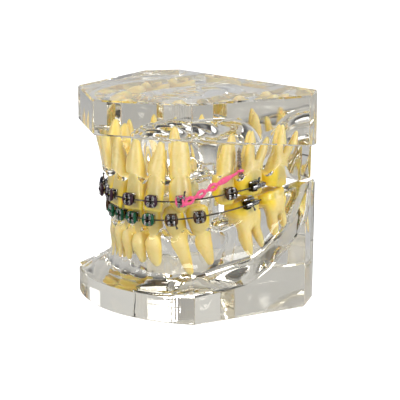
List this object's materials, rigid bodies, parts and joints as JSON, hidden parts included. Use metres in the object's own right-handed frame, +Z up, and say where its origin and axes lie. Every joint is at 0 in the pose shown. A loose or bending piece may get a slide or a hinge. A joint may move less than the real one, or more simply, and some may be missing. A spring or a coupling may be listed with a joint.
{
  "type": "orthodontic typodont model",
  "caption": "Closed pair of clear acrylic dental demonstration jaws with full rooted resin teeth, brackets, archwires, elastic ties, a power chain and a mini screw.",
  "frame": {"origin": "centre of the closed model's box, at the flat underside of the lower base", "axes": "+Z up through the closed jaws, -Y towards the incisors, +Y towards the flat backs, +X towards the patient's left"},
  "size_m": [0.074, 0.0616, 0.0646],
  "materials": {
    "clear_acrylic": "polished clear cast acrylic",
    "tooth_resin": "semi-gloss ivory resin",
    "bracket_steel": "bright cast steel",
    "wire_steel": "drawn steel wire",
    "tie_aubergine": "glossy elastomer",
    "tie_navy": "glossy elastomer",
    "tie_amber": "glossy translucent elastomer",
    "tie_green": "glossy elastomer",
    "chain_pink": "satin elastomer",
    "screw_titanium": "machined titanium alloy"
  },
  "bodies": {
    "lower_jaw": {"lower_base": "clear_acrylic", "lower_left_central_incisor": "tooth_resin", "lower_left_lateral_incisor": "tooth_resin", "lower_left_canine": "tooth_resin", "lower_left_first_premolar": "tooth_resin", "lower_left_first_molar": "tooth_resin", "lower_left_second_molar": "tooth_resin", "lower_right_central_incisor": "tooth_resin", "lower_right_lateral_incisor": "tooth_resin", "lower_right_canine": "tooth_resin", "lower_right_first_premolar": "tooth_resin", "lower_right_first_molar": "tooth_resin", "lower_right_second_molar": "tooth_resin", "lower_left_central_incisor_bracket": "bracket_steel", "lower_left_lateral_incisor_bracket": "bracket_steel", "lower_left_canine_bracket": "bracket_steel", "lower_left_first_premolar_bracket": "bracket_steel", "lower_left_first_molar_tube": "bracket_steel", "lower_right_central_incisor_bracket": "bracket_steel", "lower_right_lateral_incisor_bracket": "bracket_steel", "lower_right_canine_bracket": "bracket_steel", "lower_right_first_premolar_bracket": "bracket_steel", "lower_right_first_molar_tube": "bracket_steel", "lower_archwire": "wire_steel", "lower_front_ties": "tie_green", "lower_amber_ties": "tie_amber"},
    "upper_jaw": {"upper_base": "clear_acrylic", "upper_left_central_incisor": "tooth_resin", "upper_left_lateral_incisor": "tooth_resin", "upper_left_canine": "tooth_resin", "upper_left_second_premolar": "tooth_resin", "upper_left_first_molar": "tooth_resin", "upper_left_second_molar": "tooth_resin", "upper_right_central_incisor": "tooth_resin", "upper_right_lateral_incisor": "tooth_resin", "upper_right_canine": "tooth_resin", "upper_right_second_premolar": "tooth_resin", "upper_right_first_molar": "tooth_resin", "upper_right_second_molar": "tooth_resin", "upper_left_central_incisor_bracket": "bracket_steel", "upper_left_lateral_incisor_bracket": "bracket_steel", "upper_left_canine_bracket": "bracket_steel", "upper_left_second_premolar_bracket": "bracket_steel", "upper_left_first_molar_tube": "bracket_steel", "upper_right_central_incisor_bracket": "bracket_steel", "upper_right_lateral_incisor_bracket": "bracket_steel", "upper_right_canine_bracket": "bracket_steel", "upper_right_second_premolar_bracket": "bracket_steel", "upper_right_first_molar_tube": "bracket_steel", "upper_archwire": "wire_steel", "upper_front_ties": "tie_aubergine", "upper_right_canine_tie": "tie_navy", "upper_premolar_ties": "tie_amber", "power_chain": "chain_pink", "mini_screw": "screw_titanium"}
  },
  "joints": [
    {"name": "upper_jaw_lift", "type": "slide", "parent": "lower_jaw", "child": "upper_jaw", "axis": [0, 0, 1], "range_m": [0, 0.06]}
  ]
}
